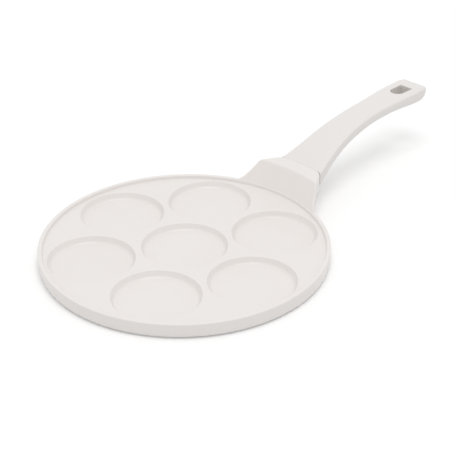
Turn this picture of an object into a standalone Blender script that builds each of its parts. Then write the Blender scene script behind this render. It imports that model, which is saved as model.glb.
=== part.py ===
# Seven-well pancake pan with a one-piece moulded handle.
# Units are metres. The pan stands on z = 0 with its axis on +Z, and the handle runs along +X.
import bmesh
import bpy
from math import atan2, cos, degrees, exp, pi, radians, sin, sqrt, tan
from mathutils import Vector

# Clearances
FIT_GAP = 0.0003            # between pieces that slip into or stand against each other
SEAT_GAP = 0.0002           # between the pieces stacked under the screw head
RECESS_GAP = 0.0008         # around the washers in the handle's screw recess

# Wells
RING_WELLS = 6              # wells around the centre one
WELL_RADIUS = 0.0400        # at the land between the wells
WELL_DEPTH = 0.0058
WELL_LEAN = 0.0033          # how far the well wall leans in
WELL_FILLET = 0.0045        # where the wall meets the well floor
WELL_LIP = 0.0006           # rounding of the well's upper edge
WELL_SPACING = 0.0054       # land left between neighbouring wells
WELL_MARGIN = 0.0033        # land left between a well and the rim

# Pan
FLOOR_THICKNESS = 0.0055    # metal and base plate under a well
RIM_WIDTH = 0.0038
RIM_RISE = 0.0032           # rim top above the land
RIM_LEAN = 0.0012           # how far the rim's inner side leans in
RIM_ROUND = 0.0009
LAND_FILLET = 0.0007        # where the land meets the rim
WALL_LEAN = 0.0006
WALL_ROUND = 0.0009         # lower edge of the outer wall
FOOT_INSET = 0.0105         # from the outer wall to the foot
FOOT_HEIGHT = 0.0017        # how far the foot stands below the outer edge

# Base plate for induction hobs
PLATE_RADIUS = 0.0900
PLATE_THICKNESS = 0.0010
HOLE_RADIUS = 0.0032
STUD_ROOT = 0.0010          # length of a stud inside the pan's floor
HOLE_RINGS = 3
HOLES_IN_FIRST_RING = 6     # each further ring has this many more
FIRST_RING_RADIUS = 0.0260
RING_STEP = 0.0235

# Neck, cast in one with the pan
NECK_LENGTH = 0.0260        # from the pan's outer wall to the seam
RIDGE_REACH = 0.0100        # from the pan's outer wall to the ridge
NECK_RISE = 0.0206          # flat top of the neck above the rim
NECK_FOOT_WIDTH = 0.1044    # where the slope starts on the rim
NECK_WALL_WIDTH = 0.0924    # over the pan's outer wall
NECK_RIDGE_WIDTH = 0.0748
NECK_EDGE = 0.0034
RIDGE_BLEND = 0.0010
NECK_FOOT_HEIGHT = 0.0046   # underside of the neck at the pan's wall
NECK_END_LENGTH = 0.0034    # the neck's sides round off before the seam
NECK_END_INSET = 0.0040

# Handle
HANDLE_LENGTH = 0.1763
HANDLE_ROOT_WIDTH = 0.0510
HANDLE_SLIM_WIDTH = 0.0265  # width that the taper runs down to
HANDLE_TAPER = 0.0410       # distance over which the taper fades
HANDLE_SWELL = 0.0066       # extra width towards the hang hole
SWELL_START = 0.0900
SWELL_END = 0.1550
HANDLE_RISE = 0.0307        # end of the handle above its root
HANDLE_SWEEP = 0.0479       # distance over which most of the rise happens
RISE_POWER = 1.25           # 1 rises at once, more starts flatter
HANDLE_DEPTH = 0.0138
ROOT_EXTRA_DEPTH = 0.0065
END_EXTRA_DEPTH = 0.0034
DEEPER_FROM = 0.1220        # the belly deepens from here to the end corner
ROOT_SQUARENESS = 4.6       # 2 is an ellipse below the top edge, more is squarer
GRIP_SQUARENESS = 2.7
END_SQUARENESS = 3.0
HANDLE_EDGE = 0.0028        # rounding beside the flat top
SEAM_FADE = 0.0240          # distance over which the curved root turns straight
END_CORNER_LENGTH = 0.0130
END_CORNER_WIDTH = 0.0045
END_BELLY_LENGTH = 0.0090
END_BELLY_RISE = 0.0080
END_EDGE = 0.0028

# Hang hole
HANG_MARGIN = 0.0161        # from its straight side to the end of the handle
HANG_LENGTH = 0.0220
HANG_WIDTH = 0.0146
HANG_CHAMFER = 0.0006

# Tongue of the neck inside the handle
TONGUE_REACH = 0.0380
TONGUE_ROOT_WIDTH = 0.0200
TONGUE_TIP_WIDTH = 0.0150
TONGUE_THICKNESS = 0.0054
TONGUE_COVER = 0.0045       # handle left above the tongue
TONGUE_ANCHOR = 0.0120      # length of the bar that is buried in the neck
TONGUE_EDGE = 0.0010

# Screw and washers
SCREW_REACH = 0.0220        # from the seam to the screw
SCREW_RADIUS = 0.0025
SCREW_HEAD_RADIUS = 0.0046
SCREW_HEAD_HEIGHT = 0.0023
SCREW_TIP_INSET = 0.0004    # screw end below the tongue's upper face
SCREW_TIP_CHAMFER = 0.0006
DRIVE_WIDTH = 0.0011
DRIVE_SPAN = 0.0050
DRIVE_DEPTH = 0.0014
WEB_THICKNESS = 0.0022      # handle between the tongue and the washer
WASHER_RADIUS = 0.0050
WASHER_THICKNESS = 0.0008
SPRING_RADIUS = 0.0044
SPRING_THICKNESS = 0.0009
SPRING_SPLIT = radians(14)

# Facets of the round shapes, and steps in the curved ones
PAN_FACETS = 96
WELL_FACETS = 40
SMALL_FACETS = 24
HOLE_FACETS = 8
FILLET_STEPS = 3
ROUND_STEPS = 2
EDGE_STEPS = 4
HANG_STEPS = 14
TOP_STEPS = 10
NECK_STEPS = 6
HANDLE_STEPS = 24
CORNER_STEPS = 6

# Sizes that follow from the ones above
RING_RADIUS = (WELL_RADIUS + WELL_SPACING / 2) / sin(pi / RING_WELLS)
INNER_RADIUS = RING_RADIUS + WELL_RADIUS + WELL_MARGIN
PAN_RADIUS = INNER_RADIUS + RIM_WIDTH
LAND_HEIGHT = FLOOR_THICKNESS + WELL_DEPTH
RIM_HEIGHT = LAND_HEIGHT + RIM_RISE
NECK_HEIGHT = RIM_HEIGHT + NECK_RISE
SEAM_RADIUS = PAN_RADIUS + NECK_LENGTH
ROOT_RADIUS = SEAM_RADIUS + FIT_GAP
SLOPE_START = INNER_RADIUS + RIM_ROUND / 2


def clear_scene():
    for thing in list(bpy.data.objects):
        bpy.data.objects.remove(thing, do_unlink=True)


def finish_material(name, colour, roughness, metallic):
    material = bpy.data.materials.new(name)
    material.use_nodes = True
    shader = material.node_tree.nodes["Principled BSDF"]
    shader.inputs["Base Color"].default_value = (*colour, 1.0)
    shader.inputs["Roughness"].default_value = roughness
    shader.inputs["Metallic"].default_value = metallic
    return material


def add_object(name, bm, material=None, smooth_angle=35):
    bmesh.ops.recalc_face_normals(bm, faces=bm.faces)
    mesh = bpy.data.meshes.new(name)
    bm.to_mesh(mesh)
    bm.free()
    mesh.shade_smooth()
    mesh.set_sharp_from_angle(angle=radians(smooth_angle))
    if material:
        mesh.materials.append(material)
    thing = bpy.data.objects.new(name, mesh)
    bpy.context.scene.collection.objects.link(thing)
    return thing


def add_cutter(name, bm):
    cutter = add_object(name, bm)
    cutter.hide_render = True
    cutter.display_type = "WIRE"
    return cutter


def combine(thing, operation, other):
    boolean = thing.modifiers.new(other.name, "BOOLEAN")
    boolean.operation = operation
    boolean.solver = "EXACT"
    boolean.object = other


def even_shading(thing):
    """Let wide flat faces set the shading, so that they look flat up to their edges."""
    normals = thing.modifiers.new("even_shading", "WEIGHTED_NORMAL")
    normals.keep_sharp = True


def join_rings(bm, first, second):
    count = max(len(first), len(second))
    for i in range(count):
        j = (i + 1) % count
        corners = [first[i % len(first)], first[j % len(first)],
                   second[j % len(second)], second[i % len(second)]]
        face = list(dict.fromkeys(corners))
        if len(face) > 2:
            bm.faces.new(face)


def turned(profile, facets, centre=(0.0, 0.0), bm=None):
    """Revolve a closed profile of (radius, height) about a vertical axis at centre.

    Points are rounded to a nanometre, so that those meant to lie on an axis do."""
    bm = bm or bmesh.new()
    rings = []
    for radius, height in profile:
        count = facets if radius > 0 else 1
        ring = []
        for i in range(count):
            angle = 2 * pi * i / facets
            place = (centre[0] + radius * cos(angle), centre[1] + radius * sin(angle), height)
            ring.append(bm.verts.new([round(value, 9) for value in place]))
        rings.append(ring)
    for i, ring in enumerate(rings):
        join_rings(bm, ring, rings[(i + 1) % len(rings)])
    return bm


def arc(centre, radius, start, end, steps):
    """Points of (radius, height) on an arc whose angles are in degrees."""
    points = []
    for i in range(steps + 1):
        angle = radians(start + (end - start) * i / steps)
        points.append((centre[0] + radius * cos(angle), centre[1] + radius * sin(angle)))
    return points


def foot_fillet(radius, height, fillet, lean, steps):
    """Arc from a floor up to the wall around it, which leans out by an angle in degrees."""
    reach = fillet * tan(radians(45 - lean / 2))
    return arc((radius - reach, height + fillet), fillet, -90, -lean, steps)


def edge_round(radius, height, rounding, lean, end, steps):
    """Arc from such a wall to the flat above it, or up to the angle end."""
    reach = rounding * tan(radians(45 - lean / 2))
    return arc((radius + reach, height - rounding), rounding, 180 - lean, end, steps)


def cylinder(radius, low, high, facets, centre=(0.0, 0.0), bm=None):
    return turned([(0.0, low), (radius, low), (radius, high), (0.0, high)], facets, centre, bm)


# The next functions give the handle's shape, at a distance along it from its root.
def handle_top(distance):
    return NECK_HEIGHT + HANDLE_RISE * (1 - exp(-(max(distance, 0.0) / HANDLE_SWEEP) ** RISE_POWER))


def smooth_step(value, start, end):
    share = min(max((value - start) / (end - start), 0.0), 1.0)
    return share * share * (3 - 2 * share)


def corner_drop(distance_to_end, length, drop):
    """How far an elliptical corner has fallen away at a distance before the end."""
    share = min(max(1 - distance_to_end / length, 0.0), 1.0)
    return drop * (1 - sqrt(1 - share * share))


def handle_half_width(distance):
    width = HANDLE_SLIM_WIDTH + (HANDLE_ROOT_WIDTH - HANDLE_SLIM_WIDTH) * exp(-distance / HANDLE_TAPER)
    width += HANDLE_SWELL * smooth_step(distance, SWELL_START, SWELL_END)
    return width / 2 - corner_drop(HANDLE_LENGTH - distance, END_CORNER_LENGTH, END_CORNER_WIDTH)


def handle_depth(distance):
    depth = HANDLE_DEPTH + ROOT_EXTRA_DEPTH * exp(-distance / HANDLE_TAPER)
    depth += END_EXTRA_DEPTH * smooth_step(distance, DEEPER_FROM, HANDLE_LENGTH - END_BELLY_LENGTH)
    return depth - corner_drop(HANDLE_LENGTH - distance, END_BELLY_LENGTH, END_BELLY_RISE)


def squareness(distance):
    power = GRIP_SQUARENESS + (ROOT_SQUARENESS - GRIP_SQUARENESS) * exp(-distance / HANDLE_TAPER)
    return power + (END_SQUARENESS - GRIP_SQUARENESS) * smooth_step(distance, SWELL_START, SWELL_END)


def neck_top(radius):
    """A cone rises from the rim to the ridge, where it blends into the flat top."""
    ridge = PAN_RADIUS + RIDGE_REACH
    slope = NECK_RISE / (ridge - SLOPE_START)
    offset = radius - ridge
    if offset > RIDGE_BLEND:
        return NECK_HEIGHT
    if offset < -RIDGE_BLEND:
        return NECK_HEIGHT + slope * offset
    return NECK_HEIGHT - slope * (RIDGE_BLEND - offset) ** 2 / (4 * RIDGE_BLEND)


def neck_half_width(radius):
    """A quick flare at the rim, then an even taper to the handle's root."""
    ridge = PAN_RADIUS + RIDGE_REACH
    knots = [(SLOPE_START, NECK_FOOT_WIDTH / 2), (PAN_RADIUS, NECK_WALL_WIDTH / 2),
             (ridge, NECK_RIDGE_WIDTH / 2), (SEAM_RADIUS, HANDLE_ROOT_WIDTH / 2)]
    return curve_through(knots, radius)


def curve_through(knots, at):
    """Cubic curve through a few knots, with each inner tangent taken from its neighbours."""
    last = len(knots) - 1
    tangents = []
    for i in range(last + 1):
        before, after = knots[max(i - 1, 0)], knots[min(i + 1, last)]
        tangents.append((after[1] - before[1]) / (after[0] - before[0]))
    span = max(i for i in range(last) if at >= knots[i][0] or i == 0)
    (x0, y0), (x1, y1) = knots[span], knots[span + 1]
    width = x1 - x0
    t = (at - x0) / width
    return ((1 + 2 * t) * (1 - t) ** 2 * y0 + t * (1 - t) ** 2 * width * tangents[span]
            + t * t * (3 - 2 * t) * y1 + t * t * (t - 1) * width * tangents[span + 1])


def section(half_width, top, depth, edge, power):
    """Columns of (offset, upper height, lower height) across a flat-topped, round-bellied bar."""
    flat = half_width - edge
    offsets = [flat + edge * cos(pi / 2 * i / EDGE_STEPS) for i in range(EDGE_STEPS)]
    offsets += [flat - 2 * flat * i / TOP_STEPS for i in range(TOP_STEPS + 1)]
    offsets += [-offset for offset in reversed(offsets[:EDGE_STEPS])]
    columns = []
    for offset in offsets:
        past = max(abs(offset) - flat, 0.0)
        upper = top - edge + sqrt(max(edge * edge - past * past, 0.0))
        share = min(abs(offset) / half_width, 1.0)
        lower = top - edge - (depth - edge) * (1 - share ** power) ** (1 / power)
        columns.append((offset, upper, lower))
    return columns


def lofted(stations):
    """Skin a row of (place, columns), where place turns an offset and a height into a point."""
    bm = bmesh.new()
    rows = []
    for place, columns in stations:
        upper = [bm.verts.new(place(offset, high)) for offset, high, low in columns]
        lower = [bm.verts.new(place(offset, low)) for offset, high, low in columns[1:-1]]
        rows.append((upper, [upper[0], *lower, upper[-1]]))
    for (upper, lower), (next_upper, next_lower) in zip(rows, rows[1:]):
        ring = upper + lower[-2:0:-1]
        next_ring = next_upper + next_lower[-2:0:-1]
        join_rings(bm, ring, next_ring)
    for upper, lower in (rows[0], rows[-1]):
        for i in range(len(upper) - 1):
            corners = [upper[i], upper[i + 1], lower[i + 1], lower[i]]
            bm.faces.new(list(dict.fromkeys(corners)))
    return bm


def tongue_line():
    """Start, length and tilt of the tongue's centre line, from the seam to its tip."""
    def centre_height(distance):
        return handle_top(distance) - TONGUE_COVER - TONGUE_THICKNESS / 2

    start = Vector((SEAM_RADIUS, 0.0, centre_height(0.0)))
    tip = Vector((SEAM_RADIUS + TONGUE_REACH, 0.0, centre_height(TONGUE_REACH)))
    run = tip - start
    return start, run.length, atan2(run.z, run.x)


def place_on_tongue(thing, distance):
    """Move a piece to the tongue's centre line, with its own z square to the tongue."""
    start, length, tilt = tongue_line()
    along = distance * length / TONGUE_REACH
    thing.location = start + along * Vector((cos(tilt), 0.0, sin(tilt)))
    thing.rotation_euler = (0.0, -tilt, 0.0)


def tongue_bar(low, high, grow):
    """Tapered bar on the tongue's line, from low to high, larger by grow on every side."""
    start, length, tilt = tongue_line()
    taper = (TONGUE_TIP_WIDTH - TONGUE_ROOT_WIDTH) / 2 / length
    bm = bmesh.new()
    rings = []
    for along in (low, high):
        half_width = TONGUE_ROOT_WIDTH / 2 + taper * along + grow
        half_height = TONGUE_THICKNESS / 2 + grow
        corners = ((-1, -1), (1, -1), (1, 1), (-1, 1))
        rings.append([bm.verts.new((along, y * half_width, z * half_height)) for y, z in corners])
    join_rings(bm, *rings)
    for ring in rings:
        bm.faces.new(ring)
    long_edges = [edge for edge in bm.edges if edge.calc_length() > (high - low) / 2]
    bmesh.ops.bevel(bm, geom=long_edges, offset=TONGUE_EDGE, segments=2, affect="EDGES", profile=0.5)
    return bm


def well_centres():
    centres = [(0.0, 0.0)]
    for i in range(RING_WELLS):
        angle = 2 * pi * (i + 0.5) / RING_WELLS
        centres.append((RING_RADIUS * cos(angle), RING_RADIUS * sin(angle)))
    return centres


def hole_centres():
    centres = []
    for ring in range(HOLE_RINGS):
        count = HOLES_IN_FIRST_RING * (ring + 1)
        radius = FIRST_RING_RADIUS + RING_STEP * ring
        for i in range(count):
            angle = 2 * pi * (i + 0.5 * ring) / count
            centres.append((radius * cos(angle), radius * sin(angle)))
    return centres


def plate_recess():
    return PLATE_THICKNESS + FIT_GAP


def pan_profile():
    base = FOOT_HEIGHT
    recess = plate_recess()
    foot_radius = PAN_RADIUS - FOOT_INSET
    base_radius = PAN_RADIUS - WALL_LEAN
    lean = degrees(atan2(RIM_LEAN, RIM_RISE))
    profile = [(0.0, LAND_HEIGHT)]
    profile += foot_fillet(INNER_RADIUS - RIM_LEAN, LAND_HEIGHT, LAND_FILLET, lean, ROUND_STEPS)
    profile += edge_round(INNER_RADIUS, RIM_HEIGHT, RIM_ROUND, lean, 90, ROUND_STEPS)
    profile += arc((PAN_RADIUS - RIM_ROUND, RIM_HEIGHT - RIM_ROUND), RIM_ROUND, 90, 0, ROUND_STEPS)
    profile += arc((base_radius - WALL_ROUND, base + WALL_ROUND), WALL_ROUND, 0, -90, FILLET_STEPS)
    profile += [(foot_radius + FOOT_HEIGHT / 2, base), (foot_radius, 0.0)]
    profile += [(PLATE_RADIUS + FIT_GAP, 0.0), (PLATE_RADIUS + FIT_GAP, recess), (0.0, recess)]
    return profile


def well_profile():
    """Half section of the space in a well, from its axis at the floor to above the land."""
    lean = degrees(atan2(WELL_LEAN, WELL_DEPTH))
    wall_top = WELL_RADIUS - WELL_LIP * tan(radians(45 - lean / 2))
    above = LAND_HEIGHT + RIM_RISE
    profile = [(0.0, FLOOR_THICKNESS)]
    profile += foot_fillet(wall_top - WELL_LEAN, FLOOR_THICKNESS, WELL_FILLET, lean, FILLET_STEPS)
    profile += edge_round(wall_top, LAND_HEIGHT, WELL_LIP, lean, 105, 1)
    profile += [(WELL_RADIUS, LAND_HEIGHT + SEAT_GAP), (WELL_RADIUS, above), (0.0, above)]
    return profile


def neck_loft():
    ridge = PAN_RADIUS + RIDGE_REACH
    bounds = (SLOPE_START, ridge - RIDGE_BLEND, ridge + RIDGE_BLEND, SEAM_RADIUS - NECK_END_LENGTH)
    radii = [start + (end - start) * i / NECK_STEPS for start, end in zip(bounds, bounds[1:])
             for i in range(NECK_STEPS)]
    for i in range(EDGE_STEPS + 1):
        radii.append(SEAM_RADIUS - NECK_END_LENGTH * (1 - sin(pi / 2 * i / EDGE_STEPS)))
    stations = []
    for radius in radii:
        def place(offset, height, radius=radius):
            return sqrt(radius * radius - offset * offset), offset, height

        top = neck_top(radius)
        share = (radius - SLOPE_START) / (SEAM_RADIUS - SLOPE_START)
        seam_bottom = NECK_HEIGHT - handle_depth(0.0)
        bottom = NECK_FOOT_HEIGHT + (seam_bottom - NECK_FOOT_HEIGHT) * share
        edge = NECK_EDGE + (HANDLE_EDGE - NECK_EDGE) * smooth_step(radius, ridge, SEAM_RADIUS)
        half_width = neck_half_width(radius)
        half_width -= corner_drop(SEAM_RADIUS - radius, NECK_END_LENGTH, NECK_END_INSET)
        columns = section(half_width, top, top - bottom, edge, ROOT_SQUARENESS)
        stations.append((place, columns))
    return lofted(stations)


def make_pan_body(material):
    body = add_object("pan_body", turned(pan_profile(), PAN_FACETS), material)
    combine(body, "UNION", add_cutter("neck_shape", neck_loft()))
    tongue = add_cutter("tongue_shape", tongue_bar(-TONGUE_ANCHOR, tongue_line()[1], 0.0))
    place_on_tongue(tongue, 0.0)
    combine(body, "UNION", tongue)
    studs = bmesh.new()
    for centre in hole_centres():
        cylinder(HOLE_RADIUS - FIT_GAP, 0.0, plate_recess() + STUD_ROOT, HOLE_FACETS, centre, studs)
    combine(body, "UNION", add_cutter("stud_shapes", studs))
    wells = bmesh.new()
    for centre in well_centres():
        turned(well_profile(), WELL_FACETS, centre, wells)
    combine(body, "DIFFERENCE", add_cutter("well_cutters", wells))
    bore = cylinder(SCREW_RADIUS + FIT_GAP, -TONGUE_THICKNESS, TONGUE_THICKNESS, SMALL_FACETS)
    tapped_hole = add_cutter("tapped_hole_cutter", bore)
    place_on_tongue(tapped_hole, SCREW_REACH)
    combine(body, "DIFFERENCE", tapped_hole)
    even_shading(body)
    return body


def make_induction_plate(material):
    disc = cylinder(PLATE_RADIUS, 0.0, PLATE_THICKNESS, PAN_FACETS)
    plate = add_object("induction_plate", disc, material)
    holes = bmesh.new()
    for centre in hole_centres():
        cylinder(HOLE_RADIUS, -PLATE_THICKNESS, 2 * PLATE_THICKNESS, HOLE_FACETS, centre, holes)
    combine(plate, "DIFFERENCE", add_cutter("plate_hole_cutters", holes))
    even_shading(plate)
    return plate


def handle_distances():
    """Distances from the root, close together where the shape turns quickly."""
    corner_start = HANDLE_LENGTH - END_CORNER_LENGTH
    distances = [corner_start * i / HANDLE_STEPS for i in range(HANDLE_STEPS + 1)]
    for i in range(1, CORNER_STEPS - 1):
        distances.append(HANDLE_LENGTH - END_CORNER_LENGTH * (1 - sin(pi / 2 * i / CORNER_STEPS)))
    for i in range(1, EDGE_STEPS + 1):
        distances.append(HANDLE_LENGTH - END_EDGE * (1 - sin(pi / 2 * i / EDGE_STEPS)))
    return sorted(distances)


def handle_loft():
    stations = []
    for distance in handle_distances():
        bow = 1 - smooth_step(distance, 0.0, SEAM_FADE)

        def place(offset, height, distance=distance, bow=bow):
            sagitta = ROOT_RADIUS - sqrt(ROOT_RADIUS ** 2 - offset ** 2)
            return ROOT_RADIUS + distance - bow * sagitta, offset, height

        drop = corner_drop(HANDLE_LENGTH - distance, END_EDGE, END_EDGE)
        top = handle_top(distance) - drop
        depth = handle_depth(distance) - drop
        columns = section(handle_half_width(distance), top, depth, HANDLE_EDGE, squareness(distance))
        stations.append((place, columns))
    return lofted(stations)


def hang_hole_cutter():
    """D-shaped punch, straight on its far side, with a small chamfer at the top face."""
    far = ROOT_RADIUS + HANDLE_LENGTH - HANG_MARGIN
    half = HANG_WIDTH / 2
    bend = far - HANG_LENGTH + half
    top = handle_top(bend - ROOT_RADIUS)
    levels = [(0.0, 0.0), (top - HANG_CHAMFER, 0.0), (top + HANG_CHAMFER, 2 * HANG_CHAMFER)]
    bm = bmesh.new()
    rings = []
    for height, grow in levels:
        outline = [(far + grow, -half - grow), (far + grow, half + grow)]
        outline += arc((bend, 0.0), half + grow, 90, 270, HANG_STEPS)
        rings.append([bm.verts.new((x, y, height)) for x, y in outline])
    for ring, next_ring in zip(rings, rings[1:]):
        join_rings(bm, ring, next_ring)
    bm.faces.new(rings[0])
    bm.faces.new(rings[-1])
    return bm


def seat_height():
    """Screw seat in the handle, measured from the tongue's centre line."""
    return -(TONGUE_THICKNESS / 2 + FIT_GAP + WEB_THICKNESS)


def make_handle(material):
    handle = add_object("handle", handle_loft(), material)
    socket_length = tongue_line()[1] + FIT_GAP
    socket = add_cutter("socket_cutter", tongue_bar(-TONGUE_ANCHOR, socket_length, FIT_GAP))
    place_on_tongue(socket, 0.0)
    combine(handle, "DIFFERENCE", socket)
    bore = SCREW_RADIUS + FIT_GAP
    recess = WASHER_RADIUS + RECESS_GAP
    seat = seat_height()
    low = seat - HANDLE_DEPTH
    profile = [(0.0, low), (recess, low), (recess, seat), (bore, seat), (bore, 0.0), (0.0, 0.0)]
    screw_hole = add_cutter("screw_hole_cutter", turned(profile, SMALL_FACETS))
    place_on_tongue(screw_hole, SCREW_REACH)
    combine(handle, "DIFFERENCE", screw_hole)
    combine(handle, "DIFFERENCE", add_cutter("hang_hole_cutter", hang_hole_cutter()))
    even_shading(handle)
    return handle


def make_flat_washer(material):
    top = seat_height() - SEAT_GAP
    low = top - WASHER_THICKNESS
    hole = SCREW_RADIUS + SEAT_GAP
    profile = [(hole, low), (WASHER_RADIUS, low), (WASHER_RADIUS, top), (hole, top)]
    washer = add_object("flat_washer", turned(profile, SMALL_FACETS), material)
    place_on_tongue(washer, SCREW_REACH)
    return washer


def spring_top():
    return seat_height() - 2 * SEAT_GAP - WASHER_THICKNESS


def make_spring_washer(material):
    """Split ring of square wire."""
    top = spring_top()
    low = top - SPRING_THICKNESS
    hole = SCREW_RADIUS + SEAT_GAP
    bm = bmesh.new()
    rings = []
    for i in range(SMALL_FACETS + 1):
        angle = SPRING_SPLIT / 2 + (2 * pi - SPRING_SPLIT) * i / SMALL_FACETS
        corners = ((hole, low), (SPRING_RADIUS, low), (SPRING_RADIUS, top), (hole, top))
        rings.append([bm.verts.new((r * cos(angle), r * sin(angle), z)) for r, z in corners])
    for ring, next_ring in zip(rings, rings[1:]):
        join_rings(bm, ring, next_ring)
    bm.faces.new(rings[0])
    bm.faces.new(rings[-1])
    washer = add_object("spring_washer", bm, material)
    place_on_tongue(washer, SCREW_REACH)
    return washer


def cross_punch(low, high):
    """Plus-shaped prism for the screw's drive."""
    thin, wide = DRIVE_WIDTH / 2, DRIVE_SPAN / 2
    arm = [(wide, -thin), (wide, thin), (thin, thin)]
    outline = []
    for turn in range(4):
        c, s = round(cos(pi / 2 * turn)), round(sin(pi / 2 * turn))
        outline += [(x * c - y * s, x * s + y * c) for x, y in arm]
    bm = bmesh.new()
    rings = [[bm.verts.new((x, y, z)) for x, y in outline] for z in (low, high)]
    join_rings(bm, *rings)
    for ring in rings:
        bm.faces.new(ring)
    return bm


def make_handle_screw(material):
    """Pan-head machine screw with a cross recess, driven in from below."""
    head_top = spring_top() - SPRING_THICKNESS - SEAT_GAP
    head_low = head_top - SCREW_HEAD_HEIGHT
    tip = TONGUE_THICKNESS / 2 - SCREW_TIP_INSET
    dome = SCREW_HEAD_HEIGHT / 2
    profile = [(0.0, head_low)]
    profile += arc((SCREW_HEAD_RADIUS - dome, head_low + dome), dome, -90, 0, EDGE_STEPS)
    profile += [(SCREW_HEAD_RADIUS, head_top), (SCREW_RADIUS, head_top)]
    profile += [(SCREW_RADIUS, tip - SCREW_TIP_CHAMFER), (SCREW_RADIUS - SCREW_TIP_CHAMFER, tip)]
    profile.append((0.0, tip))
    screw = add_object("handle_screw", turned(profile, SMALL_FACETS), material)
    place_on_tongue(screw, SCREW_REACH)
    punch = cross_punch(head_low - DRIVE_DEPTH, head_low + DRIVE_DEPTH)
    cross = add_cutter("cross_recess_cutter", punch)
    place_on_tongue(cross, SCREW_REACH)
    combine(screw, "DIFFERENCE", cross)
    return screw


def build():
    clear_scene()
    cream_coating = finish_material("cream_ceramic_coating", (0.83, 0.80, 0.78), 0.42, 0.0)
    cream_handle = finish_material("cream_soft_touch", (0.80, 0.77, 0.74), 0.55, 0.0)
    brushed_steel = finish_material("brushed_stainless", (0.56, 0.56, 0.57), 0.34, 1.0)
    zinc_steel = finish_material("zinc_plated_steel", (0.66, 0.67, 0.69), 0.30, 1.0)
    make_pan_body(cream_coating)
    make_induction_plate(brushed_steel)
    make_handle(cream_handle)
    make_flat_washer(zinc_steel)
    make_spring_washer(zinc_steel)
    make_handle_screw(zinc_steel)


build()
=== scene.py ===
from math import atan2, cos, exp, pi, radians, sin, sqrt, tan

import bmesh
import bpy
from mathutils import Matrix, Vector


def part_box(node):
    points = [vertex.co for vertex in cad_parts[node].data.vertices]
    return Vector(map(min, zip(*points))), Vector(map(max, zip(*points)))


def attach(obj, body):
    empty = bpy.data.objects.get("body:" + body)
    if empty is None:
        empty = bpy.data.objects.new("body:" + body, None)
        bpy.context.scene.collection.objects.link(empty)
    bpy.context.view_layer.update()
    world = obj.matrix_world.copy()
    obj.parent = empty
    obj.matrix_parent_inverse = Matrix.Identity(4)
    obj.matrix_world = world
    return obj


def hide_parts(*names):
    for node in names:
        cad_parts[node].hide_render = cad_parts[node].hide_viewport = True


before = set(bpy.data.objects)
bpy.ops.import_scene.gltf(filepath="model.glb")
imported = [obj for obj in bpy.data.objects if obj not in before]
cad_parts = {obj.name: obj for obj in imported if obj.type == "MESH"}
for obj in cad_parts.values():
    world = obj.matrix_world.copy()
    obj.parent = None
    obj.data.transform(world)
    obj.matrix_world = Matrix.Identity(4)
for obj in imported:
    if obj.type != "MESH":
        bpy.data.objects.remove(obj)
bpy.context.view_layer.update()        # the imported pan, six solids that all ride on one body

# Cream seven-well pancake pan: a coated casting, a moulded handle, a base plate and one fixing screw.
# Every shape below is written in millimetres and turned to metres where its mesh is made.
mm = 0.001
body = "root"
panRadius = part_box("pan_body")[1].y / mm
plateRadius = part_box("induction_plate")[1].x / mm
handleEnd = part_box("handle")[1].x / mm
overcut = 1.0               # how far a cutter stands out of what it cuts
mergeDistance = 0.002       # points closer than this become one after a cut
print("frame loaded: pan radius", round(panRadius, 2), "handle end", round(handleEnd, 2))


# Mesh tools
def makePiece(name, bm, sharpAngle=32):
    bmesh.ops.recalc_face_normals(bm, faces=bm.faces)
    bmesh.ops.scale(bm, vec=(mm, mm, mm), verts=bm.verts)
    mesh = bpy.data.meshes.new(name)
    bm.to_mesh(mesh)
    bm.free()
    mesh.shade_smooth()
    mesh.set_sharp_from_angle(angle=radians(sharpAngle))
    piece = bpy.data.objects.new(name, mesh)
    bpy.context.scene.collection.objects.link(piece)
    return piece


def combine(piece, operation, other):
    cut = piece.modifiers.new(other.name, "BOOLEAN")
    cut.operation = operation
    cut.solver = "EXACT"
    cut.object = other


def settle(piece, sharpAngle=32):       # bakes the cuts into the mesh and clears the cutters away
    cutters = [modifier.object for modifier in piece.modifiers]
    evaluated = piece.evaluated_get(bpy.context.evaluated_depsgraph_get())
    mesh = bpy.data.meshes.new_from_object(evaluated)
    piece.modifiers.clear()
    piece.data = mesh
    for cutter in cutters:
        bpy.data.objects.remove(cutter)
    bm = bmesh.new()
    bm.from_mesh(mesh)
    bmesh.ops.remove_doubles(bm, verts=bm.verts, dist=mergeDistance * mm)
    bmesh.ops.dissolve_degenerate(bm, edges=bm.edges, dist=mergeDistance * mm)
    bm.to_mesh(mesh)
    bm.free()
    mesh.shade_smooth()
    mesh.set_sharp_from_angle(angle=radians(sharpAngle))
    weighted = piece.modifiers.new("flat faces stay flat", "WEIGHTED_NORMAL")
    weighted.keep_sharp = True


def finishPiece(piece, node, slot, *materials):
    for material in materials:
        piece.data.materials.append(material)
    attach(piece, body)
    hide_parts(node)
    print("made", piece.name, len(piece.data.polygons), "faces")


def joinRings(bm, first, second):       # a ring of one point closes the shape like the tip of a cone
    count = max(len(first), len(second))
    for i in range(count):
        j = (i + 1) % count
        corners = [first[i % len(first)], first[j % len(first)],
                   second[j % len(second)], second[i % len(second)]]
        face = list(dict.fromkeys(corners))
        if len(face) > 2:
            bm.faces.new(face)


def turned(profile, facets, centre=(0.0, 0.0), bm=None):    # a closed profile, revolved about a vertical axis
    bm = bm or bmesh.new()
    rings = []
    for radius, height in profile:
        count = facets if radius > 0 else 1
        angles = [2 * pi * i / facets for i in range(count)]
        rings.append([bm.verts.new((centre[0] + radius * cos(a), centre[1] + radius * sin(a), height))
                      for a in angles])
    for i, ring in enumerate(rings):
        joinRings(bm, ring, rings[(i + 1) % len(rings)])
    return bm


def cylinder(radius, low, high, facets, centre=(0.0, 0.0), bm=None):
    return turned([(0.0, low), (radius, low), (radius, high), (0.0, high)], facets, centre, bm)


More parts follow.
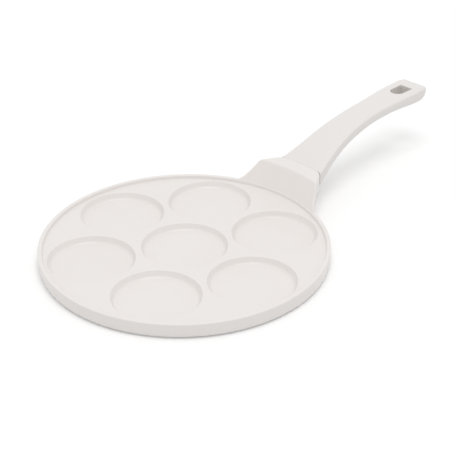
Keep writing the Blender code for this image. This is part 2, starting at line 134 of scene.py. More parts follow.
def rounded(corners, steps=7):      # corners are (radius, height) or (radius, height, rounding)
    points = []
    for i, corner in enumerate(corners):
        here = Vector(corner[:2])
        if len(corner) < 3:
            points.append(tuple(here))
            continue
        back = (Vector(corners[i - 1][:2]) - here).normalized()
        ahead = (Vector(corners[(i + 1) % len(corners)][:2]) - here).normalized()
        half = back.angle(ahead) / 2
        middle = here + (back + ahead).normalized() * corner[2] / sin(half)
        start = here + back * corner[2] / tan(half) - middle
        end = here + ahead * corner[2] / tan(half) - middle
        for k in range(steps + 1):
            spoke = start.slerp(end, k / steps).normalized() * corner[2]
            points.append(tuple(middle + spoke))
    return points


def smoothStep(value, start, end):
    share = min(max((value - start) / (end - start), 0.0), 1.0)
    return share * share * (3 - 2 * share)


def cornerDrop(toEnd, length, drop):        # how far an elliptical corner has fallen away before the end
    share = min(max(1 - toEnd / length, 0.0), 1.0)
    return drop * (1 - sqrt(1 - share * share))


def cornerSpread(end, length, steps):       # places that divide a corner before the end into even arcs
    return [end - length * (1 - sin(pi / 2 * i / steps)) for i in range(1, steps)]


# The neck and the handle are skins over cross-sections that follow one another along the part.
section = {"edgeSteps": 9, "topSteps": 44}


def crossSection(halfWidth, top, depth, edge, power):       # flat top, rounded edges, superellipse belly
    flat = halfWidth - edge
    edgeSteps, topSteps = section["edgeSteps"], section["topSteps"]
    offsets = [flat + edge * cos(pi / 2 * i / edgeSteps) for i in range(edgeSteps)]
    offsets += [flat - 2 * flat * i / topSteps for i in range(topSteps + 1)]
    offsets += [-offset for offset in reversed(offsets[:edgeSteps])]
    columns = []
    for offset in offsets:
        past = max(abs(offset) - flat, 0.0)
        share = min(abs(offset) / halfWidth, 1.0)
        upper = top - edge + sqrt(max(edge * edge - past * past, 0.0))
        lower = top - edge - (depth - edge) * (1 - share ** power) ** (1 / power)
        columns.append((offset, upper, lower))
    return columns


def skin(stations):         # a station is a function that places (offset, height), with its columns
    bm = bmesh.new()
    rows = []
    for place, columns in stations:
        upper = [bm.verts.new(place(offset, high)) for offset, high, low in columns]
        lower = [bm.verts.new(place(offset, low)) for offset, high, low in columns[1:-1]]
        rows.append((upper, [upper[0], *lower, upper[-1]]))
    for (upper, lower), (nextUpper, nextLower) in zip(rows, rows[1:]):
        joinRings(bm, upper + lower[-2:0:-1], nextUpper + nextLower[-2:0:-1])
    for upper, lower in (rows[0], rows[-1]):
        for i in range(len(upper) - 1):
            bm.faces.new(list(dict.fromkeys([upper[i], upper[i + 1], lower[i + 1], lower[i]])))
    return bm


# Gaps between the pieces, and the softening of the seam's two edges
joints = {"seam": 0.15, "seamEdge": 0.15, "seamSteps": 5, "plate": 0.3, "socket": 0.3, "washers": 0.2,
          "recess": 0.8}

# Wells and pan: one in the middle, the others around it, inside a low rim
wells = {"ring": 6, "radius": 40.0, "depth": 5.8, "lean": 3.0, "fillet": 4.5, "filletSteps": 10, "lip": 0.6,
         "lipTurn": 84.0, "lipSteps": 8, "mouthOut": 0.1, "mouthUp": 0.01, "spacing": 5.4, "facets": 120}
pan = {"rimWidth": 3.8, "rimRise": 3.2, "rimLean": 0.7, "rimRound": 0.9, "landFillet": 0.35, "floor": 5.5,
       "wallLean": 0.6, "wallRound": 0.9, "footInset": 10.5, "footHeight": 1.7, "footRound": 0.3,
       "recessEdge": 0.2, "bareBelow": 0.05, "facets": 288}

ringRadius = (wells["radius"] + wells["spacing"] / 2) / sin(pi / wells["ring"])
innerRadius = panRadius - pan["rimWidth"]
landHeight = pan["floor"] + wells["depth"]
rimHeight = landHeight + pan["rimRise"]


def wellCentres():
    angles = [2 * pi * (i + 0.5) / wells["ring"] for i in range(wells["ring"])]
    return [(0.0, 0.0)] + [(ringRadius * cos(a), ringRadius * sin(a)) for a in angles]


def wellProfile():
    lipRadius = wells["radius"] - wells["lip"]
    lipHeight = landHeight - wells["lip"]
    profile = rounded([
        (0.0, pan["floor"]),
        (lipRadius - wells["lean"], pan["floor"], wells["fillet"]),
        (lipRadius, lipHeight)], steps=wells["filletSteps"])
    for i in range(1, wells["lipSteps"] + 1):       # the lip, up to where it all but lies in the land
        angle = radians(180 - wells["lipTurn"] * i / wells["lipSteps"])
        profile.append((wells["radius"] + wells["lip"] * cos(angle), lipHeight + wells["lip"] * sin(angle)))
    mouth = wells["radius"] + wells["mouthOut"]
    above = rimHeight + overcut
    return profile + [(mouth, landHeight + wells["mouthUp"]), (mouth, above), (0.0, above)]


def panProfile():
    foot = panRadius - pan["footInset"]
    recess = plate["thickness"] + joints["plate"]
    return rounded([
        (0.0, landHeight),
        (innerRadius - pan["rimLean"], landHeight, pan["landFillet"]),
        (innerRadius, rimHeight, pan["rimRound"]),
        (panRadius, rimHeight, pan["rimRound"]),
        (panRadius - pan["wallLean"], pan["footHeight"], pan["wallRound"]),
        (foot + pan["footHeight"] / 2, pan["footHeight"], pan["footRound"]),
        (foot, 0.0, pan["footRound"]),
        (plateRadius + joints["plate"], 0.0, pan["recessEdge"]),
        (plateRadius + joints["plate"], recess),
        (0.0, recess)])


# Neck: a slope from the rim to a ridge, then a flat top that narrows to the seam
neck = {"length": 26.0, "slopeInset": 0.6, "ridgeReach": 10.0, "rise": 20.6, "footWidth": 104.4,
        "wallWidth": 92.4, "ridgeWidth": 74.8, "edge": 3.4, "ridgeBlend": 1.0, "underside": 4.6,
        "endLength": 3.4, "endInset": 4.0, "endSteps": 8, "steps": 12}

neckHeight = rimHeight + neck["rise"]
ridgeRadius = panRadius + neck["ridgeReach"]
seamRadius = panRadius + neck["length"]
slopeStart = innerRadius + neck["slopeInset"]       # on the rounding of the rim


def neckTop(radius):        # a cone up to the ridge, which blends into the flat top
    blend = neck["ridgeBlend"]
    slope = neck["rise"] / (ridgeRadius - slopeStart)
    offset = radius - ridgeRadius
    if offset > blend:
        return neckHeight
    if offset < -blend:
        return neckHeight + slope * offset
    return neckHeight - slope * (blend - offset) ** 2 / (4 * blend)


def curveThrough(knots, at):        # a smooth cubic curve through (place, value) knots
    last = len(knots) - 1
    tangents = []
    for i in range(last + 1):
        before, after = knots[max(i - 1, 0)], knots[min(i + 1, last)]
        tangents.append((after[1] - before[1]) / (after[0] - before[0]))
    span = max(i for i in range(last) if at >= knots[i][0] or i == 0)
    (x0, y0), (x1, y1) = knots[span], knots[span + 1]
    width = x1 - x0
    t = (at - x0) / width
    return ((1 + 2 * t) * (1 - t) ** 2 * y0 + t * (1 - t) ** 2 * width * tangents[span]
            + t * t * (3 - 2 * t) * y1 + t * t * (t - 1) * width * tangents[span + 1])


def neckHalfWidth(radius):
    knots = [(slopeStart, neck["footWidth"] / 2), (panRadius, neck["wallWidth"] / 2),
             (ridgeRadius, neck["ridgeWidth"] / 2), (seamRadius, handle["rootWidth"] / 2)]
    rounding = cornerDrop(seamRadius - radius, neck["endLength"], neck["endInset"])
    return curveThrough(knots, radius) - rounding


def neckStations():
    bounds = (slopeStart, ridgeRadius - neck["ridgeBlend"], ridgeRadius + neck["ridgeBlend"],
              seamRadius - neck["endLength"])
    radii = [start + (end - start) * i / neck["steps"] for start, end in zip(bounds, bounds[1:])
             for i in range(neck["steps"])]
    radii += cornerSpread(seamRadius, neck["endLength"], neck["endSteps"])
    radii += cornerSpread(seamRadius, joints["seamEdge"], joints["seamSteps"])
    stations = []
    for radius in sorted(radii) + [seamRadius]:
        def place(offset, height, radius=radius):
            return sqrt(radius * radius - offset * offset), offset, height

        top = neckTop(radius)
        share = (radius - slopeStart) / (seamRadius - slopeStart)
        bottom = neck["underside"] + (neckHeight - handleDepth(0.0) - neck["underside"]) * share
        edge = neck["edge"] + (handle["edge"] - neck["edge"]) * smoothStep(radius, ridgeRadius, seamRadius)
        top -= cornerDrop(seamRadius - radius, joints["seamEdge"], joints["seamEdge"])
        stations.append((place, crossSection(neckHalfWidth(radius), top, top - bottom, edge,
                                             handle["rootPower"])))
    return stations


# Handle: widths, heights and depths change along it, and the powers say how square its belly is
handle = {"rootWidth": 51.0, "slimWidth": 26.5, "taper": 41.0, "swell": 6.6, "swellFrom": 90.0,
          "swellTo": 155.0, "rise": 30.7, "sweep": 47.9, "risePower": 1.25, "depth": 13.8, "rootDepth": 6.5,
          "endDepth": 3.4, "deeperFrom": 122.0, "rootPower": 4.6, "gripPower": 2.7, "endPower": 3.0,
          "edge": 2.4, "seamFade": 24.0, "cornerLength": 13.0, "cornerWidth": 4.5, "bellyLength": 9.0,
          "bellyRise": 8.0, "endEdge": 4.4, "steps": 96, "cornerSteps": 14}

rootRadius = seamRadius + joints["seam"]
handleLength = handleEnd - rootRadius


def handleTop(distance):
    rise = 1 - exp(-(max(distance, 0.0) / handle["sweep"]) ** handle["risePower"])
    return neckHeight + handle["rise"] * rise


def handleHalfWidth(distance):
    taper = exp(-distance / handle["taper"])
    width = handle["slimWidth"] + (handle["rootWidth"] - handle["slimWidth"]) * taper
    width += handle["swell"] * smoothStep(distance, handle["swellFrom"], handle["swellTo"])
    return width / 2 - cornerDrop(handleLength - distance, handle["cornerLength"], handle["cornerWidth"])


def handleDepth(distance):
    depth = handle["depth"] + handle["rootDepth"] * exp(-distance / handle["taper"])
    bellyCorner = handleLength - handle["bellyLength"]
    depth += handle["endDepth"] * smoothStep(distance, handle["deeperFrom"], bellyCorner)
    return depth - cornerDrop(handleLength - distance, handle["bellyLength"], handle["bellyRise"])


def handlePower(distance):
    taper = exp(-distance / handle["taper"])
    swollen = smoothStep(distance, handle["swellFrom"], handle["swellTo"])
    power = handle["gripPower"] + (handle["rootPower"] - handle["gripPower"]) * taper
    return power + (handle["endPower"] - handle["gripPower"]) * swollen


def handleStations():
    cornerStart = handleLength - handle["cornerLength"]
    distances = [cornerStart * i / handle["steps"] for i in range(handle["steps"] + 1)]
    for length in (handle["cornerLength"], handle["endEdge"]):
        distances += cornerSpread(handleLength, length, handle["cornerSteps"])
    distances += [-distance for distance in cornerSpread(0.0, joints["seamEdge"], joints["seamSteps"])]
    stations = []
    for distance in sorted(distances) + [handleLength]:
        bow = 1 - smoothStep(distance, 0.0, handle["seamFade"])

        def place(offset, height, distance=distance, bow=bow):      # the root is curved like the seam
            sagitta = rootRadius - sqrt(rootRadius ** 2 - offset ** 2)
            return rootRadius + distance - bow * sagitta, offset, height

        drop = cornerDrop(handleLength - distance, handle["endEdge"], handle["endEdge"])
        seamDrop = cornerDrop(distance, joints["seamEdge"], joints["seamEdge"])
        stations.append((place, crossSection(handleHalfWidth(distance) - seamDrop,
                                             handleTop(distance) - drop - seamDrop,
                                             handleDepth(distance) - drop - 2 * seamDrop,
                                             handle["edge"], handlePower(distance))))
    return stations


# Hang hole through the handle's end
hangHole = {"fromEnd": 16.1, "length": 22.0, "width": 14.6, "round": 0.7, "roundTurn": 80.0, "roundSteps": 5,
            "flare": 2.0, "steps": 36, "wallMargin": 0.1, "wallSlope": 0.5}


def hangHoleShape():        # D-shaped, straight on its far side, rounded where it meets the top face
    far = handleEnd - hangHole["fromEnd"]
    half = hangHole["width"] / 2
    bend = far - hangHole["length"] + half
    top = handleTop(bend - rootRadius)
    levels = [(0.0, 0.0)]
    for i in range(hangHole["roundSteps"] + 1):
        angle = radians(hangHole["roundTurn"] * i / hangHole["roundSteps"])
        levels.append((top - hangHole["round"] * (1 - sin(angle)), hangHole["round"] * (1 - cos(angle))))
    levels.append((top + hangHole["flare"], hangHole["round"] + hangHole["flare"]))
    bm = bmesh.new()
    rings = []
    for height, grow in levels:
        outline = [(far + grow, -half - grow), (far + grow, half + grow)]
        for i in range(hangHole["steps"] + 1):
            angle = pi / 2 + pi * i / hangHole["steps"]
            outline.append((bend + (half + grow) * cos(angle), (half + grow) * sin(angle)))
        rings.append([bm.verts.new((x, y, height)) for x, y in outline])
    for ring, nextRing in zip(rings, rings[1:]):
        joinRings(bm, ring, nextRing)
    bm.faces.new(rings[0])
    bm.faces.new(rings[-1])
    return bm


def isHangHoleWall(face):
    far = handleEnd - hangHole["fromEnd"] + hangHole["wallMargin"]
    near = handleEnd - hangHole["fromEnd"] - hangHole["length"] - hangHole["wallMargin"]
    side = hangHole["width"] / 2 + hangHole["wallMargin"]
    centre = face.center / mm
    return near < centre.x < far and abs(centre.y) < side and abs(face.normal.z) < hangHole["wallSlope"]


# Tongue: a flat bar cast on the neck, which the handle slips over and is screwed to
tongue = {"reach": 38.0, "rootWidth": 20.0, "tipWidth": 15.0, "thickness": 5.4, "cover": 4.5,
          "anchor": 12.0, "edge": 1.0, "edgeSegments": 5}


def tongueLine():
    def centreHeight(distance):
        return handleTop(distance) - tongue["cover"] - tongue["thickness"] / 2

    start = Vector((seamRadius, 0.0, centreHeight(0.0)))
    run = Vector((seamRadius + tongue["reach"], 0.0, centreHeight(tongue["reach"]))) - start
    return start, run.length, atan2(run.z, run.x)


def placeOnTongue(piece, distance):
    start, length, tilt = tongueLine()
    along = distance * length / tongue["reach"]
    piece.location = (start + along * Vector((cos(tilt), 0.0, sin(tilt)))) * mm
    piece.rotation_euler = (0.0, -tilt, 0.0)
    bpy.context.view_layer.update()


def tongueBar(low, high, grow):
    length = tongueLine()[1]
    taper = (tongue["tipWidth"] - tongue["rootWidth"]) / 2 / length
    bm = bmesh.new()
    rings = []
    for along in (low, high):
        halfWidth = tongue["rootWidth"] / 2 + taper * along + grow
        halfHeight = tongue["thickness"] / 2 + grow
        corners = ((-1, -1), (1, -1), (1, 1), (-1, 1))
        rings.append([bm.verts.new((along, y * halfWidth, z * halfHeight)) for y, z in corners])
    joinRings(bm, *rings)
    for ring in rings:
        bm.faces.new(ring)
    longEdges = [edge for edge in bm.edges if edge.calc_length() > (high - low) / 2]
    bmesh.ops.bevel(bm, geom=longEdges, offset=tongue["edge"], segments=tongue["edgeSegments"],
                    affect="EDGES", profile=0.5)        # this profile is a round one
    return bm


# Base plate: a perforated disc, with studs of the casting pressed through its holes
plate = {"thickness": 1.0, "hole": 3.2, "rings": 3, "firstCount": 6, "firstRadius": 26.0, "step": 23.5,
         "edge": 0.15, "edgeSteps": 2, "studRoot": 1.0, "facets": 288, "holeFacets": 40}


def holeCentres():
    centres = []
    for ring in range(plate["rings"]):
        count = plate["firstCount"] * (ring + 1)
        radius = plate["firstRadius"] + plate["step"] * ring
        for i in range(count):
            angle = 2 * pi * (i + 0.5 * ring) / count
            centres.append((radius * cos(angle), radius * sin(angle)))
    return centres


def makeBasePlate(steel):
    disc = rounded([
        (0.0, 0.0),
        (plateRadius, 0.0, plate["edge"]),
        (plateRadius, plate["thickness"], plate["edge"]),
        (0.0, plate["thickness"])], steps=plate["edgeSteps"])
    basePlate = makePiece("base_plate", turned(disc, plate["facets"]))
    holes = bmesh.new()
    for centre in holeCentres():
        cylinder(plate["hole"], -overcut, plate["thickness"] + overcut, plate["holeFacets"], centre, holes)
    combine(basePlate, "DIFFERENCE", makePiece("hole_shapes", holes))
    settle(basePlate)
    finishPiece(basePlate, "induction_plate", "brushed_stainless", steel)


# Screw from below, with its two washers. Heights are measured from the tongue's centre line.
screw = {"reach": 22.0, "radius": 2.5, "headRadius": 4.6, "headHeight": 2.3, "headRound": 1.38,
         "headEdge": 0.15, "tipInset": 0.4, "tipChamfer": 0.6, "web": 2.2, "facets": 64, "sharpAngle": 40}
crossRecess = {"width": 1.1, "span": 5.0, "depth": 1.4, "mouthShare": 1.15, "floorShare": 0.72}
flatWasher = {"radius": 5.0, "thickness": 0.8}
springWasher = {"radius": 4.4, "thickness": 0.9, "split": 14.0}
washers = {"edge": 0.12, "edgeSteps": 2, "sharpAngle": 50}

seat = -(tongue["thickness"] / 2 + joints["socket"] + screw["web"])     # in the handle, for the flat washer
flatWasherTop = seat - joints["washers"]
springWasherTop = flatWasherTop - flatWasher["thickness"] - joints["washers"]
headTop = springWasherTop - springWasher["thickness"] - joints["washers"]


def washerProfile(radius, top, thickness):
    hole = screw["radius"] + joints["washers"]
    low = top - thickness
    edge = washers["edge"]
    return rounded([(hole, low, edge), (radius, low, edge), (radius, top, edge), (hole, top, edge)],
                   steps=washers["edgeSteps"])


def finishWasher(name, bm, node, plating):
    washer = makePiece(name, bm, washers["sharpAngle"])
    placeOnTongue(washer, screw["reach"])
    finishPiece(washer, node, "zinc_plated_steel", plating)


def makeFlatWasher(plating):
    profile = washerProfile(flatWasher["radius"], flatWasherTop, flatWasher["thickness"])
    finishWasher("plain_washer", turned(profile, screw["facets"]), "flat_washer", plating)


def makeSpringWasher(plating):      # the same ring with a split, so its ends are closed
    profile = washerProfile(springWasher["radius"], springWasherTop, springWasher["thickness"])
    split = radians(springWasher["split"])
    bm = bmesh.new()
    rings = []
    for i in range(screw["facets"] + 1):
        angle = split / 2 + (2 * pi - split) * i / screw["facets"]
        rings.append([bm.verts.new((r * cos(angle), r * sin(angle), z)) for r, z in profile])
    for ring, nextRing in zip(rings, rings[1:]):
        joinRings(bm, ring, nextRing)
    bm.faces.new(rings[0])
    bm.faces.new(rings[-1])
    finishWasher("split_washer", bm, "spring_washer", plating)


def crossRecessShape(low):      # a cross that narrows as it goes up into the head
    thin, wide = crossRecess["width"] / 2, crossRecess["span"] / 2
    outline = []
    for turn in range(4):
        c, s = round(cos(pi / 2 * turn)), round(sin(pi / 2 * turn))
        outline += [(x * c - y * s, x * s + y * c) for x, y in ((wide, -thin), (wide, thin), (thin, thin))]
    bm = bmesh.new()
    rings = []
    for height, share in ((low - crossRecess["depth"], crossRecess["mouthShare"]),
                          (low + crossRecess["depth"], crossRecess["floorShare"])):
        rings.append([bm.verts.new((x * share, y * share, height)) for x, y in outline])
    joinRings(bm, *rings)
    for ring in rings:
        bm.faces.new(ring)
    return bm


def makeScrew(plating):
    low = headTop - screw["headHeight"]
    tip = tongue["thickness"] / 2 - screw["tipInset"]
    radius, chamfer = screw["radius"], screw["tipChamfer"]
    profile = rounded([
        (0.0, low),
        (screw["headRadius"], low, screw["headRound"]),
        (screw["headRadius"], headTop, screw["headEdge"]),
        (radius, headTop),
        (radius, tip - chamfer),
        (radius - chamfer, tip),
        (0.0, tip)])
    machineScrew = makePiece("fixing_screw", turned(profile, screw["facets"]))
    combine(machineScrew, "DIFFERENCE", makePiece("drive_shape", crossRecessShape(low)))
    settle(machineScrew, screw["sharpAngle"])
    placeOnTongue(machineScrew, screw["reach"])
    finishPiece(machineScrew, "handle_screw", "zinc_plated_steel", plating)


# The casting and the moulding, each cut and joined from the shapes above
def makeCasting(coating, bareMetal):
    casting = makePiece("pan_casting", turned(panProfile(), pan["facets"]))
    combine(casting, "UNION", makePiece("neck_shape", skin(neckStations())))
    bar = makePiece("tongue_shape", tongueBar(-tongue["anchor"], tongueLine()[1], 0.0))
    placeOnTongue(bar, 0.0)
    combine(casting, "UNION", bar)
    studs = bmesh.new()
    studTop = plate["thickness"] + joints["plate"] + plate["studRoot"]
    for centre in holeCentres():
        cylinder(plate["hole"] - joints["plate"], 0.0, studTop, plate["holeFacets"], centre, studs)
    combine(casting, "UNION", makePiece("stud_shapes", studs))
    hollows = bmesh.new()
    for centre in wellCentres():
        turned(wellProfile(), wells["facets"], centre, hollows)
    combine(casting, "DIFFERENCE", makePiece("well_shapes", hollows))
    hole = cylinder(screw["radius"] + joints["socket"], -tongue["thickness"], tongue["thickness"],
                    screw["facets"])
    tappedHole = makePiece("tapped_hole", hole)
    placeOnTongue(tappedHole, screw["reach"])
    combine(casting, "DIFFERENCE", tappedHole)
    settle(casting)
    finishPiece(casting, "pan_body", "cream_ceramic_coating", coating, bareMetal)
    for face in casting.data.polygons:      # the foot and the studs are machined flat and stay bare
        if face.center.z < pan["bareBelow"] * mm:
            face.material_index = 1


def makeHandle(lacquer, holeShade):
    moulding = makePiece("handle_moulding", skin(handleStations()))
    socket = makePiece("socket_shape", tongueBar(-tongue["anchor"], tongueLine()[1] + joints["socket"],
                                                 joints["socket"]))
    placeOnTongue(socket, 0.0)
    combine(moulding, "DIFFERENCE", socket)
    recess = flatWasher["radius"] + joints["recess"]
    bore = screw["radius"] + joints["socket"]
    low = seat - handle["depth"]
    hole = turned([(0.0, low), (recess, low), (recess, seat), (bore, seat), (bore, 0.0), (0.0, 0.0)],
                  screw["facets"])
    screwHole = makePiece("screw_hole_shape", hole)
    placeOnTongue(screwHole, screw["reach"])
    combine(moulding, "DIFFERENCE", screwHole)
    combine(moulding, "DIFFERENCE", makePiece("hang_hole_shape", hangHoleShape()))
    settle(moulding)
    finishPiece(moulding, "handle", "cream_soft_touch", lacquer, holeShade)
    for face in moulding.data.polygons:     # the hang hole's walls take the darker material, painted shade inside the hole
        if isHangHoleWall(face):
            face.material_index = 1


# Materials
def hexColour(text):        # sRGB hex to the linear colour that the shader takes
    channels = [int(text[i:i + 2], 16) / 255 for i in (0, 2, 4)]
    return [c / 12.92 if c <= 0.04045 else ((c + 0.055) / 1.055) ** 2.4 for c in channels] + [1.0]


def addNode(tree, kind, inputs=None, **settings):       # inputs are values, or the sockets to link from
    node = tree.nodes.new("ShaderNode" + kind)
    for name, value in settings.items():
        setattr(node, name, value)
    for name, value in (inputs or {}).items():
        if isinstance(value, bpy.types.NodeSocket):
            tree.links.new(value, node.inputs[name])
        else:
            node.inputs[name].default_value = value
    return node


def newMaterial(name):
    material = bpy.data.materials.new(name)
    material.use_nodes = True
    material.node_tree.nodes.clear()
    return material, material.node_tree


def perMetre(millimetres):      # a texture's scale for a pattern of that size
    return 1 / (millimetres * mm)


# Sol-gel ceramic non-stick, sprayed on the casting and fired: an even warm cream with a satin gloss,
# a faint orange peel that only softens the highlights, and hardly any change of colour.
ceramic = {"colour": "ECE8E5", "shade": "E8E3DF", "roughness": 0.33, "glossSpread": 0.03, "ior": 1.5,
           "cloudSize": 70.0, "peelSize": 1.8, "peelHeight": 0.006, "waveSize": 22.0, "waveHeight": 0.03}


def ceramicCoating():
    material, tree = newMaterial("sprayed ceramic coating, satin cream")
    place = addNode(tree, "TexCoord").outputs["Object"]
    cloud = addNode(tree, "TexNoise", {"Vector": place, "Scale": perMetre(ceramic["cloudSize"]),
                                       "Detail": 3.0})
    colour = addNode(tree, "Mix", {0: cloud.outputs["Fac"], 6: hexColour(ceramic["colour"]),
                                   7: hexColour(ceramic["shade"])}, data_type="RGBA")
    wave = addNode(tree, "TexNoise", {"Vector": place, "Scale": perMetre(ceramic["waveSize"]), "Detail": 1.0})
    peel = addNode(tree, "TexNoise", {"Vector": place, "Scale": perMetre(ceramic["peelSize"]), "Detail": 2.0})
    waves = addNode(tree, "Bump", {"Height": wave.outputs["Fac"], "Distance": ceramic["waveHeight"] * mm})
    bump = addNode(tree, "Bump", {"Height": peel.outputs["Fac"], "Distance": ceramic["peelHeight"] * mm,
                                  "Normal": waves.outputs["Normal"]})
    gloss = addNode(tree, "MapRange", {"Value": cloud.outputs["Fac"],
                                       "To Min": ceramic["roughness"] - ceramic["glossSpread"],
                                       "To Max": ceramic["roughness"] + ceramic["glossSpread"]})
    shader = addNode(tree, "BsdfPrincipled", {"Base Color": colour.outputs[2], "IOR": ceramic["ior"],
                                              "Roughness": gloss.outputs["Result"],
                                              "Normal": bump.outputs["Normal"]})
    addNode(tree, "OutputMaterial", {"Surface": shader.outputs["BSDF"]})
    return material


# Phenolic resin, moulded and sprayed with a soft-touch lacquer: a matt cream a little greyer than the
# coating, with a very fine dry grain and no clear reflections.
softTouch = {"colour": "E9E6E3", "shade": "E6E2DF", "roughness": 0.55, "ior": 1.48,
             "cloudSize": 50.0, "grainSize": 0.9, "grainHeight": 0.008}


def softTouchLacquer():
    material, tree = newMaterial("soft-touch lacquer on moulded phenolic, matt cream")
    place = addNode(tree, "TexCoord").outputs["Object"]
    cloud = addNode(tree, "TexNoise", {"Vector": place, "Scale": perMetre(softTouch["cloudSize"]),
                                       "Detail": 2.0})
    colour = addNode(tree, "Mix", {0: cloud.outputs["Fac"], 6: hexColour(softTouch["colour"]),
                                   7: hexColour(softTouch["shade"])}, data_type="RGBA")
    grain = addNode(tree, "TexNoise", {"Vector": place, "Scale": perMetre(softTouch["grainSize"]),
                                       "Detail": 3.0})
    bump = addNode(tree, "Bump", {"Height": grain.outputs["Fac"], "Distance": softTouch["grainHeight"] * mm})
    shader = addNode(tree, "BsdfPrincipled", {"Base Color": colour.outputs[2], "IOR": softTouch["ior"],
                                              "Roughness": softTouch["roughness"],
                                              "Normal": bump.outputs["Normal"]})
    addNode(tree, "OutputMaterial", {"Surface": shader.outputs["BSDF"]})
    return material


# Painted shade for the inside of the hang hole: the handle's resin made darker and browner, with a faint
# sheen.
holeShadeColours = {"colour": "DBD8D3", "shade": "D6D2CC", "roughness": 0.42, "ior": 1.6, "cloudSize": 9.0}


def holeShadeResin():
    material, tree = newMaterial("painted shade in the hang hole, warm grey")
    place = addNode(tree, "TexCoord").outputs["Object"]
    cloud = addNode(tree, "TexNoise", {"Vector": place, "Scale": perMetre(holeShadeColours["cloudSize"]), "Detail": 3.0})
    colour = addNode(tree, "Mix", {0: cloud.outputs["Fac"], 6: hexColour(holeShadeColours["colour"]),
                                   7: hexColour(holeShadeColours["shade"])}, data_type="RGBA")
    shader = addNode(tree, "BsdfPrincipled", {"Base Color": colour.outputs[2], "IOR": holeShadeColours["ior"],
                                              "Roughness": holeShadeColours["roughness"]})
    addNode(tree, "OutputMaterial", {"Surface": shader.outputs["BSDF"]})
    return material


def turningMarks(tree, finish):     # rings around the pan's axis, uneven as a lathe leaves them
    place = addNode(tree, "TexCoord").outputs["Object"]
    flat = addNode(tree, "VectorMath", {0: place, 1: (1.0, 1.0, 0.0)}, operation="MULTIPLY")
    radius = addNode(tree, "VectorMath", {0: flat.outputs["Vector"]}, operation="LENGTH")
    uneven = addNode(tree, "TexNoise", {"Vector": place, "Scale": perMetre(finish["wobbleSize"]),
                                        "Detail": 1.0})
    shift = addNode(tree, "Math", {0: uneven.outputs["Fac"], 1: finish["wobble"] * mm}, operation="MULTIPLY")
    moved = addNode(tree, "Math", {0: radius.outputs["Value"], 1: shift.outputs["Value"]}, operation="ADD")
    return addNode(tree, "TexNoise", {"W": moved.outputs["Value"], "Scale": perMetre(finish["pitch"]),
                                      "Detail": 2.0}, noise_dimensions="1D")


# Ferritic stainless steel, spun-brushed: fine rings that stretch each highlight into a fan.
# Real brushing is about 0.1 mm, too fine to show, so it is drawn at 0.7 mm.
stainless = {"colour": "C9C8C6", "dark": "B3B2B0", "dullRoughness": 0.38, "brightRoughness": 0.24,
             "pitch": 0.7, "height": 0.004, "wobble": 0.2, "wobbleSize": 30.0}


def brushedStainless():
    material, tree = newMaterial("brushed ferritic stainless steel")
    marks = turningMarks(tree, stainless)
    colour = addNode(tree, "Mix", {0: marks.outputs["Fac"], 6: hexColour(stainless["dark"]),
                                   7: hexColour(stainless["colour"])}, data_type="RGBA")
    gloss = addNode(tree, "MapRange", {"Value": marks.outputs["Fac"], "To Min": stainless["dullRoughness"],
                                       "To Max": stainless["brightRoughness"]})
    bump = addNode(tree, "Bump", {"Height": marks.outputs["Fac"], "Distance": stainless["height"] * mm})
    shader = addNode(tree, "BsdfPrincipled", {"Base Color": colour.outputs[2], "Metallic": 1.0,
                                              "Roughness": gloss.outputs["Result"],
                                              "Normal": bump.outputs["Normal"]})
    addNode(tree, "OutputMaterial", {"Surface": shader.outputs["BSDF"]})
    return material


# Die-cast aluminium, faced on a lathe after coating: brighter and bluer than the steel, with open rings.
aluminium = {"colour": "DADBDD", "dark": "BFC0C3", "roughness": 0.34, "pitch": 1.1, "height": 0.008,
             "wobble": 0.1, "wobbleSize": 30.0}


def machinedAluminium():
    material, tree = newMaterial("machined die-cast aluminium")
    marks = turningMarks(tree, aluminium)
    colour = addNode(tree, "Mix", {0: marks.outputs["Fac"], 6: hexColour(aluminium["dark"]),
                                   7: hexColour(aluminium["colour"])}, data_type="RGBA")
    bump = addNode(tree, "Bump", {"Height": marks.outputs["Fac"], "Distance": aluminium["height"] * mm})
    shader = addNode(tree, "BsdfPrincipled", {"Base Color": colour.outputs[2], "Metallic": 1.0,
                                              "Roughness": aluminium["roughness"],
                                              "Normal": bump.outputs["Normal"]})
    addNode(tree, "OutputMaterial", {"Surface": shader.outputs["BSDF"]})
    return material


# Steel with bright zinc plating and a clear passivation: cool silver with faint blue and straw clouds.
zincPlate = {"colour": "CDD0D4", "tint": "D3CFC2", "brightRoughness": 0.23, "dullRoughness": 0.38,
             "cloudSize": 3.0}


def zincPlating():
    material, tree = newMaterial("bright zinc plating on steel")
    place = addNode(tree, "TexCoord").outputs["Object"]
    cloud = addNode(tree, "TexNoise", {"Vector": place, "Scale": perMetre(zincPlate["cloudSize"]),
                                       "Detail": 3.0})
    colour = addNode(tree, "Mix", {0: cloud.outputs["Fac"], 6: hexColour(zincPlate["colour"]),
                                   7: hexColour(zincPlate["tint"])}, data_type="RGBA")
    gloss = addNode(tree, "MapRange", {"Value": cloud.outputs["Fac"], "To Min": zincPlate["brightRoughness"],
                                       "To Max": zincPlate["dullRoughness"]})
    shader = addNode(tree, "BsdfPrincipled", {"Base Color": colour.outputs[2], "Metallic": 1.0,
                                              "Roughness": gloss.outputs["Result"]})
    addNode(tree, "OutputMaterial", {"Surface": shader.outputs["BSDF"]})
    return material


zinc = zincPlating()
makeCasting(ceramicCoating(), machinedAluminium())
makeBasePlate(brushedStainless())
makeHandle(softTouchLacquer(), holeShadeResin())
makeFlatWasher(zinc)
makeSpringWasher(zinc)
makeScrew(zinc)
print("pieces made")


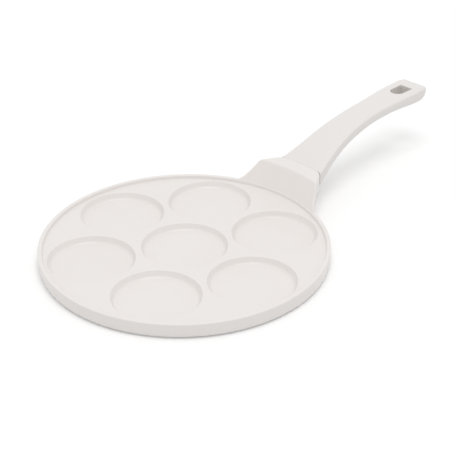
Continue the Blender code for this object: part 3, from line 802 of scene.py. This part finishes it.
# Studio: a white table under an even white sky, with one large soft lamp above, a little to the near left.
# Only the eye and reflections see the table's lift. It keeps the shadows light, and it grows with the
# distance from the pan as the lamp's light fades, so that the table stays white out to the horizon.
studio = {"floorSize": 12000.0, "floorDrop": 0.05, "floorColour": "F0F0F0", "seenColour": "EEEEEE",
          "floorLift": 0.17, "farLift": 0.38, "farFrom": 500.0, "farTo": 3000.0, "sky": 0.78,
          "lampPower": 17.0, "lampSize": 1500.0, "lampPlace": (-100.0, -380.0, 2600.0),
          "aim": (0.0, 0.0, 20.0)}


def seenRays(tree):     # 1 where the eye, a reflection or glass sees the surface, 0 where it lights the pan
    path = addNode(tree, "LightPath")
    seen = addNode(tree, "Math", {0: path.outputs["Is Camera Ray"], 1: path.outputs["Is Glossy Ray"]},
                   operation="ADD")
    every = addNode(tree, "Math", {0: seen.outputs["Value"], 1: path.outputs["Is Transmission Ray"]},
                    operation="ADD", use_clamp=True)
    return every.outputs["Value"]


def makeFloor():
    bm = bmesh.new()
    half = studio["floorSize"] / 2
    bm.faces.new([bm.verts.new((x * half, y * half, -studio["floorDrop"]))
                  for x, y in ((-1, -1), (1, -1), (1, 1), (-1, 1))])
    floor = makePiece("floor", bm)
    material, tree = newMaterial("matt white table")
    seen = seenRays(tree)
    place = addNode(tree, "TexCoord").outputs["Object"]
    distance = addNode(tree, "VectorMath", {0: place}, operation="LENGTH")
    lift = addNode(tree, "MapRange", {"Value": distance.outputs["Value"], "From Min": studio["farFrom"] * mm,
                                      "From Max": studio["farTo"] * mm, "To Min": studio["floorLift"],
                                      "To Max": studio["farLift"]})
    seenLift = addNode(tree, "Math", {0: seen, 1: lift.outputs["Result"]}, operation="MULTIPLY")
    colour = addNode(tree, "Mix", {0: seen, 6: hexColour(studio["floorColour"]),
                                   7: hexColour(studio["seenColour"])}, data_type="RGBA")
    surface = addNode(tree, "BsdfDiffuse", {"Color": colour.outputs[2]})
    glow = addNode(tree, "Emission", {"Strength": seenLift.outputs["Value"]})
    both = addNode(tree, "AddShader", {0: surface.outputs["BSDF"], 1: glow.outputs["Emission"]})
    addNode(tree, "OutputMaterial", {"Surface": both.outputs["Shader"]})
    floor.data.materials.append(material)


def makeSky():      # seen as plain white, and a little weaker as a light
    world = bpy.data.worlds.new("white studio")
    world.use_nodes = True
    tree = world.node_tree
    tree.nodes.clear()
    strength = addNode(tree, "MapRange", {"Value": seenRays(tree), "To Min": studio["sky"], "To Max": 1.0})
    sky = addNode(tree, "Background", {"Color": hexColour("FFFFFF"), "Strength": strength.outputs["Result"]})
    addNode(tree, "OutputWorld", {"Surface": sky.outputs["Background"]})
    bpy.context.scene.world = world


def makeLamp():
    light = bpy.data.lights.new("large soft lamp", "AREA")
    light.shape = "DISK"
    light.size = studio["lampSize"] * mm
    light.energy = studio["lampPower"]
    lamp = bpy.data.objects.new("large soft lamp", light)
    bpy.context.scene.collection.objects.link(lamp)
    lamp.location = Vector(studio["lampPlace"]) * mm
    towards = Vector(studio["aim"]) * mm - lamp.location
    lamp.rotation_euler = towards.to_track_quat("-Z", "Y").to_euler()


# The photograph's view: 30 degrees above the table, with the handle pointing away to the right.
view = {"place": (-694.05, -748.32, 622.35), "down": 30.195, "turn": -45.066, "roll": -0.42,
        "lens": 103.47, "sensor": 36.0, "clipStart": 50.0}


def makeCamera():
    lens = bpy.data.cameras.new("photo view")
    lens.sensor_width = view["sensor"]
    lens.lens = view["lens"]
    lens.clip_start = view["clipStart"] * mm
    camera = bpy.data.objects.new("photo view", lens)
    bpy.context.scene.collection.objects.link(camera)
    turn = Matrix.Rotation(radians(view["turn"]), 4, "Z")
    tilt = Matrix.Rotation(radians(90 - view["down"]), 4, "X")
    roll = Matrix.Rotation(radians(view["roll"]), 4, "Z")
    camera.matrix_world = Matrix.Translation(Vector(view["place"]) * mm) @ turn @ tilt @ roll
    bpy.context.scene.camera = camera


makeFloor()
makeSky()
makeLamp()
makeCamera()
bpy.context.scene.view_settings.view_transform = "Standard"
print("studio made")
